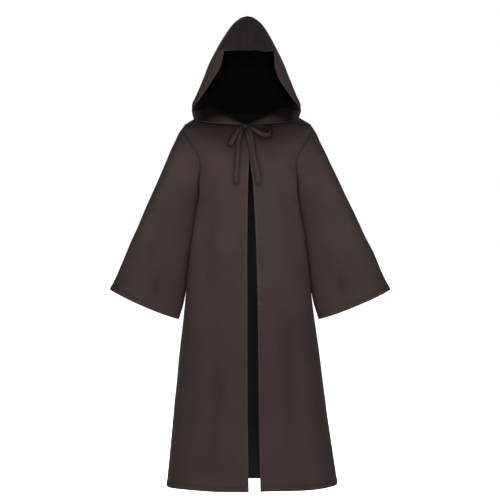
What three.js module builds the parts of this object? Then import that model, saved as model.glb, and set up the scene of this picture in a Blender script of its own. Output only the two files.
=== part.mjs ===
// Hooded robe with wide sleeves, open down the front and tied at the neck.
// Millimetres, +Z up. The front faces -Y and x runs to the viewer's right.
// The origin lies between the shoulders, half way from chest to back.
import * as THREE from "three";

// Sizes of the cloth and of the seams
const WALL = 2;
const SEAM_GAP = 0.3;
const HEM_HEIGHT = -1204.5;

// Shape of a horizontal section: 2 is an ellipse, more is boxier
const BODY_POWER = 2.5;
const HOOD_POWER = 2.3;
const SLEEVE_POWER = 2.2;

// Sections of the body: half width, depth of front and back, place of the middle
const BODY = [
  { z: 40, half: 105, front: 56, back: 66, middle: -5.5 },
  { z: 28, half: 130, front: 66, back: 76, middle: -5.5 },
  { z: 15, half: 155, front: 76, back: 84, middle: -5.5 },
  { z: 4, half: 175, front: 83, back: 90, middle: -5.5 },
  { z: -5, half: 191, front: 88, back: 94, middle: -5.5 },
  { z: -18, half: 209, front: 93, back: 98, middle: -5.5 },
  { z: -36, half: 216, front: 98, back: 101, middle: -5.5 },
  { z: -60, half: 213, front: 105, back: 104, middle: -5.5 },
  { z: -100, half: 196, front: 114, back: 108, middle: -5 },
  { z: -132, half: 180, front: 119, back: 110, middle: -4.5 },
  { z: -185, half: 163, front: 124, back: 113, middle: -4 },
  { z: -238, half: 162, front: 127, back: 117, middle: -4 },
  { z: -290, half: 170, front: 130, back: 121, middle: -4 },
  { z: -370, half: 183, front: 134, back: 126, middle: -3.5 },
  { z: -455, half: 195, front: 139, back: 132, middle: -3.5 },
  { z: -587, half: 208, front: 147, back: 142, middle: -3 },
  { z: -760, half: 229, front: 157, back: 154, middle: -0.5 },
  { z: -924, half: 248, front: 165, back: 164, middle: 2 },
  { z: -1089, half: 268, front: 171, back: 171, middle: 6 },
  { z: HEM_HEIGHT, half: 282, front: 175, back: 175, middle: 9 },
];

// Lines across the panels: height at the neckline or front edge, height and turn at the
// armhole or side seam, and half the width of the neckline
const ACROSS = [
  { row: 0, inner: 40, side: -18, turn: 90, neck: 105 },
  { row: 1, inner: 34, side: -25, turn: 78, neck: 94 },
  { row: 2, inner: 27, side: -43, turn: 71, neck: 81 },
  { row: 3, inner: 18, side: -63, turn: 65.5, neck: 67 },
  { row: 4, inner: 8, side: -84, turn: 62, neck: 52 },
  { row: 5, inner: -3, side: -106, turn: 60, neck: 35 },
  { row: 6, inner: -13, side: -128, turn: 60.5, neck: 18 },
  { row: 7, inner: -23, side: -148, turn: 63.5, neck: 0.3 },
  { row: 8, inner: -50, side: -165, turn: 69, neck: 0.3 },
  { row: 9, inner: -85, side: -178, turn: 77.5, neck: 0.3 },
  { row: 10, inner: -125, side: -185, turn: 90, neck: 0.3 },
  { row: 11, inner: -170, side: -215, turn: 90, neck: 0.3 },
  { row: 12, inner: -225, side: -255, turn: 90, neck: 0.3 },
  { row: 13, inner: -300, side: -300, turn: 90, neck: 0.3 },
  { row: 28, inner: HEM_HEIGHT, side: HEM_HEIGHT, turn: 90, neck: 0.3 },
];
const NECK_ROW = 7;
const UNDERARM_ROW = 10;
const HEM_ROW = 28;
const NECK_MIDDLE = -10.5;
const BACK_NECK_HEIGHT = 28;

// The two front edges: closed at the neck, parted from the chest down
const FRONT_EDGES = [
  { z: -23, left: -10.8, right: -10.2 },
  { z: -60, left: -7.3, right: -6.7 },
  { z: -125, left: -1.6, right: -0.6 },
  { z: -190, left: -3.6, right: 9 },
  { z: -230, left: -5.2, right: 12.8 },
  { z: -430, left: -7.4, right: 22 },
  { z: -600, left: -7.2, right: 26.5 },
  { z: -924, left: -6.5, right: 30 },
  { z: HEM_HEIGHT, left: -2, right: 34.5 },
];

// Soft folds that fall to the hem: turn from the centre front, half width, both in degrees,
// height where each begins and how far it stands out at the hem
const FOLDS = [
  { turn: -62, width: 11, top: -420, lift: 4 },
  { turn: -38, width: 9, top: -560, lift: 3.5 },
  { turn: -17, width: 7, top: -300, lift: 2.5 },
  { turn: 22, width: 8, top: -480, lift: 3 },
  { turn: 47, width: 10, top: -380, lift: 4 },
  { turn: 69, width: 9, top: -650, lift: 4 },
  { turn: 112, width: 11, top: -520, lift: 6 },
  { turn: 136, width: 12, top: -260, lift: 9 },
  { turn: 161, width: 10, top: -400, lift: 8 },
  { turn: 186, width: 12, top: -180, lift: 10 },
  { turn: 211, width: 10, top: -460, lift: 7 },
  { turn: 235, width: 12, top: -320, lift: 9 },
  { turn: 255, width: 9, top: -600, lift: 5 },
];

// Sections of a sleeve: share of its length, outer and inner point, clearance of the inner
// point from the body, half depth and place of the middle between the two sleeves
const SLEEVE = [
  { share: 0, outer: 214, top: -22, low: -188, clear: 3, depth: 66, middle: -6, behind: 0 },
  { share: 0.15, outer: 245, top: -82, low: -231, clear: 3, depth: 64, middle: -7, behind: 24 },
  { share: 0.33, outer: 282.5, top: -165, low: -277, clear: 3, depth: 60, middle: -4.5, behind: 42 },
  { share: 0.5, outer: 328, top: -264, low: -350, clear: 3, depth: 58, middle: -3, behind: 46 },
  { share: 0.67, outer: 373, top: -363, low: -442, clear: 3, depth: 58, middle: -1, behind: 46 },
  { share: 0.83, outer: 418.5, top: -462, low: -541, clear: 4, depth: 60, middle: 1.5, behind: 40 },
  { share: 1, outer: 459.5, top: -559, low: -653, clear: 18, depth: 63, middle: 2.5, behind: 30 },
];
const CUFF_DROP = 6;
const ARMHOLE_BLEND = 0.22;
const SLEEVE_CLEARANCE = 2;

// Sections of the hood. The corner is its rim up to the brow, and above that the bend from the
// crown's front to its side. Half widths are from the hood's middle, and lean moves both
// corners to the viewer's right.
const HOOD = [
  { row: 1, cornerX: 32, cornerY: -96, cornerZ: -15.5, sideX: 130, sideY: 3, sideZ: 42, backY: 88, backZ: 33, lean: 0 },
  { row: 3, cornerX: 105, cornerY: -86, cornerZ: -9.5, sideX: 160, sideY: 3, sideZ: 32, backY: 106, backZ: 52, lean: 0 },
  { row: 5, cornerX: 163, cornerY: -48, cornerZ: 3, sideX: 178, sideY: 3, sideZ: 32, backY: 124, backZ: 78, lean: 0 },
  { row: 7, cornerX: 175, cornerY: -26, cornerZ: 33, sideX: 178, sideY: 4, sideZ: 50, backY: 137, backZ: 110, lean: 0 },
  { row: 9, cornerX: 152, cornerY: -34, cornerZ: 74, sideX: 163, sideY: 8, sideZ: 88, backY: 146, backZ: 146, lean: -1 },
  { row: 11, cornerX: 118, cornerY: -64, cornerZ: 122, sideX: 142, sideY: 6, sideZ: 140, backY: 149, backZ: 188, lean: -2 },
  { row: 13, cornerX: 94, cornerY: -90, cornerZ: 169, sideX: 124, sideY: -2, sideZ: 184, backY: 143, backZ: 226, lean: 3 },
  { row: 15, cornerX: 84, cornerY: -117, cornerZ: 221, sideX: 105, sideY: -14, sideZ: 221, backY: 124, backZ: 265, lean: 9 },
  { row: 17, cornerX: 52, cornerY: -82, cornerZ: 268, sideX: 79, sideY: -8, sideZ: 268, backY: 102, backZ: 296, lean: 2 },
  { row: 19, cornerX: 26, cornerY: -40, cornerZ: 314, sideX: 48, sideY: 4, sideZ: 314, backY: 74, backZ: 326, lean: 0 },
  { row: 21, cornerX: 0, cornerY: -2, cornerZ: 344, sideX: 0, sideY: 16, sideZ: 344.5, backY: 42, backZ: 343, lean: 0 },
];
// The crown's front seam, from the brow to the peak
const CROWN = [
  { row: 15, y: -129, z: 221 },
  { row: 17, y: -93, z: 268 },
  { row: 19, y: -50, z: 314 },
  { row: 21, y: -10, z: 344 },
];
const BROW_ROW = 15;
const PEAK_ROW = 21;
const HOOD_MIDDLE = [
  { z: 60, x: -10.5 },
  { z: 221, x: -9.5 },
  { z: 344, x: -6.5 },
];
const CHEST_CLEARANCE = 3.5;

// The tie: a flat band of the same cloth
const TIE_WALL = 2;
const TAIL_RIGHT = [
  { x: -19, z: -36, half: 4, lift: 4.8 },
  { x: -28, z: -48, half: 5.5, lift: 3.2 },
  { x: -36, z: -75, half: 6.5, lift: 2.6 },
  { x: -37.6, z: -110, half: 7, lift: 2.5 },
  { x: -40.8, z: -157, half: 7.5, lift: 2.5 },
  { x: -44, z: -208.7, half: 8, lift: 2.5 },
];
const TAIL_LEFT = [
  { x: -9.5, z: -37.2, half: 6, lift: 5 },
  { x: -3.5, z: -48, half: 8.5, lift: 3.8 },
  { x: 1.6, z: -63, half: 9.5, lift: 2.8 },
  { x: 8.1, z: -102, half: 9, lift: 2.6 },
  { x: 16.2, z: -141, half: 8.5, lift: 2.6 },
  { x: 25.3, z: -176.5, half: 8.5, lift: 2.6 },
  { x: 29.2, z: -208.7, half: 8.5, lift: 2.6 },
];
// Each loop leaves the knot, turns and comes back to it.
const LOOP_RIGHT = [
  { x: -27, z: -28, half: 3.5, lift: 8 },
  { x: -37, z: -43, half: 6, lift: 7 },
  { x: -50, z: -64, half: 8.5, lift: 6 },
  { x: -60, z: -84, half: 10, lift: 5.5 },
  { x: -64.5, z: -92.5, half: 10, lift: 7 },
  { x: -65, z: -94, half: 10, lift: 10 },
  { x: -60, z: -84, half: 10, lift: 12.5 },
  { x: -49, z: -64, half: 8, lift: 13.5 },
  { x: -36, z: -43, half: 5.5, lift: 13.5 },
  { x: -28, z: -29, half: 3.5, lift: 13 },
];
const LOOP_LEFT = [
  { x: -2.6, z: -24, half: 6, lift: 12 },
  { x: 22, z: -28, half: 9, lift: 14 },
  { x: 46, z: -33, half: 10, lift: 15 },
  { x: 63, z: -39, half: 10, lift: 15 },
  { x: 70, z: -47, half: 10, lift: 15 },
  { x: 68, z: -56, half: 10, lift: 15 },
  { x: 59, z: -61.5, half: 10, lift: 15 },
  { x: 44, z: -61, half: 10, lift: 15 },
  { x: 22, z: -48, half: 9, lift: 14 },
  { x: 0, z: -33, half: 6, lift: 12 },
];
const LOOP_LEFT_WIDTH = new THREE.Vector3(0.1, -0.95, 0.3);
const KNOT = { x: -13.5, z: -26, halfWidth: 11, halfHeight: 10, halfDepth: 7, lift: 1.25 };

// Divisions of the panels
const SHOULDER_COLUMNS = 8;
const BACK_NECK_COLUMNS = 12;
const SLEEVE_RINGS = 14;
const CROWN_COLUMNS = 4;

const CLOTH_COLOUR = 0x3c3130;
const HOOD_COLOUR = 0x342a29;

const radians = THREE.MathUtils.degToRad;
const mix = THREE.MathUtils.lerp;
const vector = (x, y, z) => new THREE.Vector3(x, y, z);
const power = (value, exponent) => Math.sign(value) * Math.abs(value) ** exponent;

// The slope of a column at a row, flat at a turning point, so that the curve never overshoots
function slope(rows, key, column, i) {
  const step = (k) => (rows[k + 1][column] - rows[k][column]) / (rows[k + 1][key] - rows[k][key]);
  if (i === 0) return step(0);
  if (i === rows.length - 1) return step(i - 1);
  const before = step(i - 1);
  const after = step(i);
  return before * after <= 0 ? 0 : (2 * before * after) / (before + after);
}

// The value of a column at a place between the rows, along a smooth curve
function along(rows, key, column, at) {
  const rising = rows[1][key] > rows[0][key];
  let i = 0;
  while (i < rows.length - 2 && rising === at > rows[i + 1][key]) i += 1;
  const span = rows[i + 1][key] - rows[i][key];
  const t = THREE.MathUtils.clamp((at - rows[i][key]) / span, 0, 1);
  const start = rows[i][column];
  const change = rows[i + 1][column] - start;
  const leave = slope(rows, key, column, i) * span;
  const arrive = slope(rows, key, column, i + 1) * span;
  return start + leave * t + (3 * change - 2 * leave - arrive) * t ** 2 + (leave + arrive - 2 * change) * t ** 3;
}

// How far the folds lift the body's cloth at a turn in degrees and a height
function foldLift(turn, z) {
  let lift = 0;
  for (const fold of FOLDS) {
    const off = THREE.MathUtils.euclideanModulo(turn - fold.turn + 180, 360) - 180;
    const fall = THREE.MathUtils.smoothstep(fold.top - z, 0, fold.top - HEM_HEIGHT);
    lift += fold.lift * fall * Math.exp(-((off / fold.width) ** 2));
  }
  return lift;
}

// A point of the body's section, without its folds. The turn is in degrees from the centre
// front, to the viewer's right.
function plainBodyPoint(turn, z) {
  const s = Math.sin(radians(turn));
  const c = Math.cos(radians(turn));
  const depth = along(BODY, "z", c > 0 ? "front" : "back", z);
  return vector(
    along(BODY, "z", "middle", z) + along(BODY, "z", "half", z) * power(s, 2 / BODY_POWER),
    -depth * power(c, 2 / BODY_POWER),
    z,
  );
}

function bodyNormal(turn, z) {
  const round = plainBodyPoint(turn + 1, z).sub(plainBodyPoint(turn - 1, z));
  const up = plainBodyPoint(turn, z + 1).sub(plainBodyPoint(turn, z - 1));
  return round.cross(up).normalize();
}

function bodyPoint(turn, z) {
  return plainBodyPoint(turn, z).addScaledVector(bodyNormal(turn, z), foldLift(turn, z));
}

// The turn, in degrees, of the point of the front at x
function turnAt(x, z) {
  const share = (x - along(BODY, "z", "middle", z)) / along(BODY, "z", "half", z);
  return THREE.MathUtils.radToDeg(Math.asin(power(THREE.MathUtils.clamp(share, -1, 1), BODY_POWER / 2)));
}

function chestPoint(x, z, lift) {
  const turn = turnAt(x, z);
  return bodyPoint(turn, z).addScaledVector(bodyNormal(turn, z), lift);
}

// Turn and height of a point of a front panel. Side is -1 on the viewer's left.
function frontPlace(side, row, across) {
  const inner = along(ACROSS, "row", "inner", row);
  const outer = along(ACROSS, "row", "side", row);
  let x = along(FRONT_EDGES, "z", side < 0 ? "left" : "right", inner);
  if (row < NECK_ROW) {
    const middle = mix(along(BODY, "z", "middle", inner), NECK_MIDDLE, row / NECK_ROW);
    x = middle + side * along(ACROSS, "row", "neck", row);
  }
  const turn = mix(turnAt(x, inner), side * along(ACROSS, "row", "turn", row), across);
  return { turn, z: mix(inner, outer, across) };
}

// Turn and height of the top edge of the back, across from 0 to 1: shoulder, neck, shoulder
function backTop(column) {
  const last = 2 * SHOULDER_COLUMNS + BACK_NECK_COLUMNS;
  const fromEnd = Math.min(column, last - column);
  const neckHeight = ACROSS[0].inner;
  if (fromEnd <= SHOULDER_COLUMNS) {
    const z = mix(ACROSS[0].side, neckHeight, fromEnd / SHOULDER_COLUMNS);
    return { turn: column < last / 2 ? -90 : -270, z };
  }
  const share = (column - SHOULDER_COLUMNS) / BACK_NECK_COLUMNS;
  return { turn: mix(-90, -270, share), z: mix(BACK_NECK_HEIGHT, neckHeight, (2 * share - 1) ** 2) };
}

function backPlace(row, column) {
  const share = column / (2 * SHOULDER_COLUMNS + BACK_NECK_COLUMNS);
  const turn = along(ACROSS, "row", "turn", row);
  const top = backTop(column);
  const fade = row < UNDERARM_ROW ? (1 - row / UNDERARM_ROW) ** 2 : 0;
  return {
    turn: mix(turn - 180, -180 - turn, share) + (top.turn - mix(-90, -270, share)) * fade,
    z: along(ACROSS, "row", "side", row) + (top.z - ACROSS[0].side) * fade,
  };
}

// A grid of cloth: its points, where given its normals, whether its columns close into a ring,
// which cells it has, and whether its columns run to the right seen from outside
function grid(rows, columns, place, options = {}) {
  const points = [];
  const normals = [];
  for (let i = 0; i < rows; i += 1) {
    points.push([]);
    normals.push([]);
    for (let j = 0; j < columns; j += 1) {
      const spot = place(i, j);
      points[i].push(spot.point);
      normals[i].push(spot.normal);
    }
  }
  return { points, normals, ring: false, outward: 1, hasCell: () => true, ...options };
}

// The four cells round a point of a grid, as [row, column] steps from it
function cellsRound(cloth, i, j) {
  const rows = cloth.points.length;
  const columns = cloth.points[0].length;
  const has = (row, column) => {
    const wrapped = cloth.ring ? (column + columns) % columns : column;
    const inside = row >= 0 && row < rows - 1 && wrapped >= 0 && (cloth.ring || wrapped < columns - 1);
    return inside && cloth.hasCell(row, wrapped);
  };
  return { upLeft: has(i - 1, j - 1), upRight: has(i - 1, j), downLeft: has(i, j - 1), downRight: has(i, j) };
}

function neighbour(cloth, i, j, down, right) {
  const columns = cloth.points[0].length;
  const column = cloth.ring ? (j + right + columns) % columns : j + right;
  return cloth.points[i + down][column];
}

// The steps along the rows and the columns at a point, over the cells that are there
function stepsAt(cloth, i, j) {
  const cells = cellsRound(cloth, i, j);
  const up = cells.upLeft || cells.upRight ? 1 : 0;
  const down = cells.downLeft || cells.downRight ? 1 : 0;
  const left = cells.upLeft || cells.downLeft ? 1 : 0;
  const right = cells.upRight || cells.downRight ? 1 : 0;
  const fall = neighbour(cloth, i, j, down, 0).clone().sub(neighbour(cloth, i, j, -up, 0));
  const run = neighbour(cloth, i, j, 0, right).clone().sub(neighbour(cloth, i, j, 0, -left));
  return { up, down, left, right, fall, run, used: up + down > 0 && left + right > 0 };
}

// The outward normals of a grid, the given ones first
function normalsOf(cloth) {
  return cloth.points.map((line, i) =>
    line.map((point, j) => {
      if (cloth.normals[i][j]) return cloth.normals[i][j];
      const steps = stepsAt(cloth, i, j);
      if (!steps.used) return vector(0, 0, 0);
      const normal = steps.fall.cross(steps.run).normalize().multiplyScalar(cloth.outward);
      return cloth.fixNormal ? cloth.fixNormal(i, j, normal) : normal;
    }),
  );
}

// The points of a grid, with its edges drawn back by half a seam gap
function drawnBack(cloth, normals) {
  return cloth.points.map((line, i) =>
    line.map((point, j) => {
      const steps = stepsAt(cloth, i, j);
      const moved = point.clone();
      if (!steps.used) return moved;
      const inward = { down: steps.down - steps.up, right: steps.right - steps.left };
      const towards = neighbour(cloth, i, j, inward.down, inward.right);
      const pull = (edge) => {
        const shift = towards.clone().sub(point);
        for (const axis of [normals[i][j], edge.clone().normalize()])
          shift.addScaledVector(axis, -shift.dot(axis));
        moved.addScaledVector(shift.normalize(), SEAM_GAP / 2);
      };
      if (inward.down) pull(steps.run);
      if (inward.right) pull(steps.fall);
      return moved;
    }),
  );
}

// A closed wall of cloth on a grid: outer face, inner face and the strips round its edges
function wallGeometry(cloth, thickness = WALL) {
  const rows = cloth.points.length;
  const columns = cloth.points[0].length;
  const normals = normalsOf(cloth);
  const outer = drawnBack(cloth, normals);
  const places = [];
  const index = new Map();
  const corner = (i, j, inside) => {
    const column = cloth.ring ? j % columns : j;
    const key = `${i} ${column} ${inside}`;
    if (!index.has(key)) {
      const depth = inside ? -thickness : 0;
      const place = outer[i][column].clone().addScaledVector(normals[i][column], depth);
      index.set(key, places.length / 3);
      places.push(place.x, place.y, place.z);
    }
    return index.get(key);
  };
  const faces = [];
  const quad = (a, b, c, d) => faces.push(...(cloth.outward > 0 ? [a, b, c, a, c, d] : [a, c, b, a, d, c]));
  const edge = (a, b) => {
    quad(corner(...a, false), corner(...a, true), corner(...b, true), corner(...b, false));
  };
  for (let i = 0; i < rows - 1; i += 1)
    for (let j = 0; j < columns - (cloth.ring ? 0 : 1); j += 1) {
      if (!cloth.hasCell(i, j)) continue;
      const corners = [[i, j], [i + 1, j], [i + 1, j + 1], [i, j + 1]];
      quad(...corners.map((spot) => corner(...spot, false)));
      quad(...corners.reverse().map((spot) => corner(...spot, true)));
      const upLeft = cellsRound(cloth, i, j);
      const downRight = cellsRound(cloth, i + 1, cloth.ring ? (j + 1) % columns : j + 1);
      if (!upLeft.upRight) edge([i, j + 1], [i, j]);
      if (!upLeft.downLeft) edge([i, j], [i + 1, j]);
      if (!downRight.downLeft) edge([i + 1, j], [i + 1, j + 1]);
      if (!downRight.upRight) edge([i + 1, j + 1], [i, j + 1]);
    }
  const geometry = new THREE.BufferGeometry();
  geometry.setAttribute("position", new THREE.Float32BufferAttribute(places, 3));
  geometry.setIndex(faces);
  return geometry;
}

function clothMesh(name, geometry, colour) {
  geometry.computeVertexNormals();
  const mesh = new THREE.Mesh(
    geometry,
    new THREE.MeshStandardMaterial({ color: colour, roughness: 0.85, metalness: 0, side: THREE.FrontSide }),
  );
  mesh.name = name;
  return mesh;
}

function frontPanel(side) {
  const place = (i, j) => {
    const { turn, z } = frontPlace(side, i, j / SHOULDER_COLUMNS);
    return { point: bodyPoint(turn, z), normal: bodyNormal(turn, z) };
  };
  return wallGeometry(grid(HEM_ROW + 1, SHOULDER_COLUMNS + 1, place, { outward: side }));
}

function backPanel() {
  const place = (i, j) => {
    const { turn, z } = backPlace(i, j);
    return { point: bodyPoint(turn, z), normal: bodyNormal(turn, z) };
  };
  return wallGeometry(grid(HEM_ROW + 1, 2 * SHOULDER_COLUMNS + BACK_NECK_COLUMNS + 1, place, { outward: -1 }));
}

// The armhole as a loop of turns and heights: down the front, then up the back
function armholePlace(side, k) {
  const row = k <= UNDERARM_ROW ? k : 2 * UNDERARM_ROW - k;
  const turn = along(ACROSS, "row", "turn", row);
  return {
    turn: side * (k <= UNDERARM_ROW ? turn : 180 - turn),
    z: along(ACROSS, "row", "side", row),
  };
}

// A point of the armhole's edge, raised off the body's panels by a seam gap, with the direction
// that leads away from them
function armholeEdge(side, k) {
  const around = 2 * UNDERARM_ROW;
  const at = (n) => armholePlace(side, (n + around) % around);
  const { turn, z } = at(k);
  const before = at(k - 1);
  const after = at(k + 1);
  const tangent = bodyPoint(after.turn, after.z).sub(bodyPoint(before.turn, before.z)).normalize();
  const normal = bodyNormal(turn, z);
  const away = tangent.cross(normal).normalize().multiplyScalar(-side);
  const point = bodyPoint(turn, z).addScaledVector(normal, 1.5 * SEAM_GAP).addScaledVector(away, SEAM_GAP / 2);
  return { point, away };
}

// How far the body reaches from its middle, at a height and a depth
function bodyReach(side, y, z) {
  const depth = along(BODY, "z", y < 0 ? "front" : "back", z);
  const share = Math.max(0, 1 - (Math.abs(y) / depth) ** BODY_POWER) ** (1 / BODY_POWER);
  return Math.abs(along(BODY, "z", "middle", z) + side * along(BODY, "z", "half", z) * share);
}

function sleeveOval(side, share, k) {
  const value = (column) => along(SLEEVE, "share", column, share);
  const inner = bodyReach(side, value("behind"), value("low")) + value("clear");
  const outerPoint = vector(value("middle") + side * value("outer"), 0, value("top"));
  const innerPoint = vector(side * inner, value("behind"), value("low"));
  const angle = (k / UNDERARM_ROW) * Math.PI;
  const half = outerPoint.clone().sub(innerPoint).multiplyScalar(0.5);
  const across = power(Math.cos(angle), 2 / SLEEVE_POWER);
  const deep = power(Math.sin(angle), 2 / SLEEVE_POWER);
  const drop = CUFF_DROP * share ** 4 * Math.sin(angle) ** 2;
  return innerPoint
    .add(half)
    .addScaledVector(half, across)
    .add(vector(0, -value("depth") * deep, -drop));
}

function sleeve(side) {
  const around = 2 * UNDERARM_ROW;
  const place = (i, k) => {
    const share = i / SLEEVE_RINGS;
    const point = sleeveOval(side, share, k);
    const fade = Math.max(0, 1 - share / ARMHOLE_BLEND) ** 2;
    point.addScaledVector(armholeEdge(side, k).point.sub(sleeveOval(side, 0, k)), fade);
    if (i > 0) point.x = side * Math.max(side * point.x, bodyReach(side, point.y, point.z) + SLEEVE_CLEARANCE);
    return { point };
  };
  // At the armhole the wall never leans over the body's panels.
  const fixNormal = (i, k, normal) => {
    if (i > 0) return normal;
    const { away } = armholeEdge(side, k);
    return normal.addScaledVector(away, -Math.max(0, normal.dot(away))).normalize();
  };
  return wallGeometry(grid(SLEEVE_RINGS + 1, around, place, { ring: true, outward: -side, fixNormal }));
}

// A point of the neckline, from the centre front round to the centre back, with the hood's seam
// raised off the panels by a seam gap
function necklineEdge(side, column) {
  let place = frontPlace(side, NECK_ROW - column, 0);
  if (column > NECK_ROW) {
    const fromSide = column - NECK_ROW;
    const count = 2 * SHOULDER_COLUMNS + BACK_NECK_COLUMNS;
    const fromLeft = SHOULDER_COLUMNS + fromSide;
    place = backTop(side < 0 ? fromLeft : count - fromLeft);
  }
  return bodyPoint(place.turn, place.z)
    .addScaledVector(bodyNormal(place.turn, place.z), SEAM_GAP)
    .add(vector(0, 0, SEAM_GAP / 2));
}

// Keeps a point of the hood just clear of the chest and shoulders
function clearOfChest(point) {
  const top = ACROSS[0].inner;
  if (point.z > top) return point;
  const turn = turnAt(point.x, point.z);
  if (Math.abs(turn) > 89) return point;
  const chest = plainBodyPoint(turn, point.z);
  if (point.y < 0) point.y = Math.min(point.y, chest.y - CHEST_CLEARANCE);
  return point;
}

// A point of the hood: columns run from the front seam over the corner and the side to the back
function hoodPoint(side, row, column) {
  const value = (name) => along(HOOD, "row", name, row);
  const corner = vector(value("cornerX") + side * value("lean"), value("cornerY"), value("cornerZ"));
  const flank = vector(value("sideX"), value("sideY"), value("sideZ"));
  const back = vector(0, value("backY"), value("backZ"));
  const sideColumn = CROWN_COLUMNS + NECK_ROW;
  let point;
  if (column <= CROWN_COLUMNS && row >= BROW_ROW) {
    const share = column / CROWN_COLUMNS;
    const seam = vector(0, along(CROWN, "row", "y", row), along(CROWN, "row", "z", row));
    point = seam.lerp(corner, share);
    point.y = mix(along(CROWN, "row", "y", row), corner.y, share ** 2);
  } else if (column <= sideColumn) {
    const angle = (((column - CROWN_COLUMNS) / NECK_ROW) * Math.PI) / 2;
    const out = power(Math.sin(angle), 2 / HOOD_POWER);
    const forward = power(Math.cos(angle), 2 / HOOD_POWER);
    point = vector(mix(corner.x, flank.x, out), mix(flank.y, corner.y, forward), mix(corner.z, flank.z, out));
  } else {
    const angle = (((column - sideColumn) / (BACK_NECK_COLUMNS / 2)) * Math.PI) / 2;
    const inward = power(Math.cos(angle), 2 / HOOD_POWER);
    const rearward = power(Math.sin(angle), 2 / HOOD_POWER);
    point = vector(flank.x * inward, mix(flank.y, back.y, rearward), mix(flank.z, back.z, Math.sin(angle) ** 2));
  }
  point.x = along(HOOD_MIDDLE, "z", "x", point.z) + side * point.x;
  return clearOfChest(point);
}

function hoodHalf(side) {
  const columns = CROWN_COLUMNS + NECK_ROW + BACK_NECK_COLUMNS / 2 + 1;
  const place = (i, j) => {
    const isSeam = i === 0;
    const point = isSeam ? necklineEdge(side, Math.max(0, j - CROWN_COLUMNS)) : hoodPoint(side, i, j);
    return { point };
  };
  const hasCell = (i, j) => j >= CROWN_COLUMNS || i >= BROW_ROW;
  // Both halves share the plane of the centre seam.
  const fixNormal = (i, j, normal) => {
    const isThroat = i === 0 && j === CROWN_COLUMNS;
    const onSeam = isThroat || j === columns - 1 || i === PEAK_ROW || (j === 0 && i >= BROW_ROW);
    if (onSeam) normal.x = 0;
    return normal.normalize();
  };
  return wallGeometry(grid(PEAK_ROW + 1, columns, place, { outward: -side, hasCell, fixNormal }));
}

// A flat band on rows of x, z, half width and height off the chest. Without a given direction
// for its width, it lies flat on the chest.
function band(rows, width) {
  const middles = rows.map((row) => chestPoint(row.x, row.z, row.lift));
  const frames = middles.map((middle, i) => {
    const before = middles[Math.max(i - 1, 0)];
    const after = middles[Math.min(i + 1, middles.length - 1)];
    const run = after.clone().sub(before).normalize();
    const flat = bodyNormal(turnAt(rows[i].x, rows[i].z), rows[i].z).cross(run).negate();
    const across = (width ? width.clone() : flat).addScaledVector(run, -(width ?? flat).dot(run)).normalize();
    return { across, out: across.clone().cross(run).normalize() };
  });
  const place = (i, j) => {
    const point = middles[i].clone().addScaledVector(frames[i].across, rows[i].half * (j - 1));
    return { point, normal: frames[i].out };
  };
  return wallGeometry(grid(rows.length, 3, place, { outward: -1 }), TIE_WALL);
}

function knot() {
  const geometry = new THREE.SphereGeometry(1, 16, 10);
  geometry.deleteAttribute("normal");
  geometry.deleteAttribute("uv");
  geometry.scale(KNOT.halfWidth, KNOT.halfDepth, KNOT.halfHeight);
  const front = chestPoint(KNOT.x, KNOT.z, KNOT.lift + KNOT.halfDepth);
  geometry.translate(KNOT.x, front.y, KNOT.z);
  return geometry;
}

const robe = new THREE.Group();
robe.add(
  clothMesh("front_right", frontPanel(-1), CLOTH_COLOUR),
  clothMesh("front_left", frontPanel(1), CLOTH_COLOUR),
  clothMesh("back", backPanel(), CLOTH_COLOUR),
  clothMesh("sleeve_right", sleeve(-1), CLOTH_COLOUR),
  clothMesh("sleeve_left", sleeve(1), CLOTH_COLOUR),
  clothMesh("hood_right", hoodHalf(-1), HOOD_COLOUR),
  clothMesh("hood_left", hoodHalf(1), HOOD_COLOUR),
  clothMesh("tie_knot", knot(), CLOTH_COLOUR),
  clothMesh("tie_loop_right", band(LOOP_RIGHT), CLOTH_COLOUR),
  clothMesh("tie_loop_left", band(LOOP_LEFT, LOOP_LEFT_WIDTH), CLOTH_COLOUR),
  clothMesh("tie_tail_right", band(TAIL_RIGHT), CLOTH_COLOUR),
  clothMesh("tie_tail_left", band(TAIL_LEFT), CLOTH_COLOUR),
);

export default robe;
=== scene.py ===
import bpy
import numpy as np
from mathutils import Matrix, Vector


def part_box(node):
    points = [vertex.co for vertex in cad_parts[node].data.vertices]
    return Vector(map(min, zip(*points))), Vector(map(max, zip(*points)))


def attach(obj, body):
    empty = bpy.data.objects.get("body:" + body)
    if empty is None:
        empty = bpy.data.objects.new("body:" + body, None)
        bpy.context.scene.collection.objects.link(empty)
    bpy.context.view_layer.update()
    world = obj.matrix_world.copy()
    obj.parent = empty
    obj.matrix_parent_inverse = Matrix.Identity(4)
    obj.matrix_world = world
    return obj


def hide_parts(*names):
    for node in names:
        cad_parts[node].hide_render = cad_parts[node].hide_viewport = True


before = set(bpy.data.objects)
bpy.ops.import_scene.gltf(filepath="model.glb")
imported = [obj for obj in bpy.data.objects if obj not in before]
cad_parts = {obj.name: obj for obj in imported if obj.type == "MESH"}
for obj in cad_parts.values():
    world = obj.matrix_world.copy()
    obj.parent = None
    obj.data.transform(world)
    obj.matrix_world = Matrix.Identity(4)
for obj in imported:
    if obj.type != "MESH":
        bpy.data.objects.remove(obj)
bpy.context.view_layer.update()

scene = bpy.context.scene
print("stage: frame loaded,", len(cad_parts), "nodes")


# Camera: level, at the height of the forearms, far enough for little perspective

shot = {"place": (0.00165, -6.5, -0.429), "lens": 141.8, "sensor": 36.0}

cameraData = bpy.data.cameras.new("studioCamera")
cameraData.lens = shot["lens"]
cameraData.sensor_width = shot["sensor"]
camera = bpy.data.objects.new("studioCamera", cameraData)
camera.location = shot["place"]
camera.rotation_euler = (np.pi / 2, 0, 0)
scene.collection.objects.link(camera)
scene.camera = camera


# Tables with named columns, and smooth values between their rows

def table(columns, rows):
    return dict(zip(columns.split(), np.array(rows, float).T))


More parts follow.
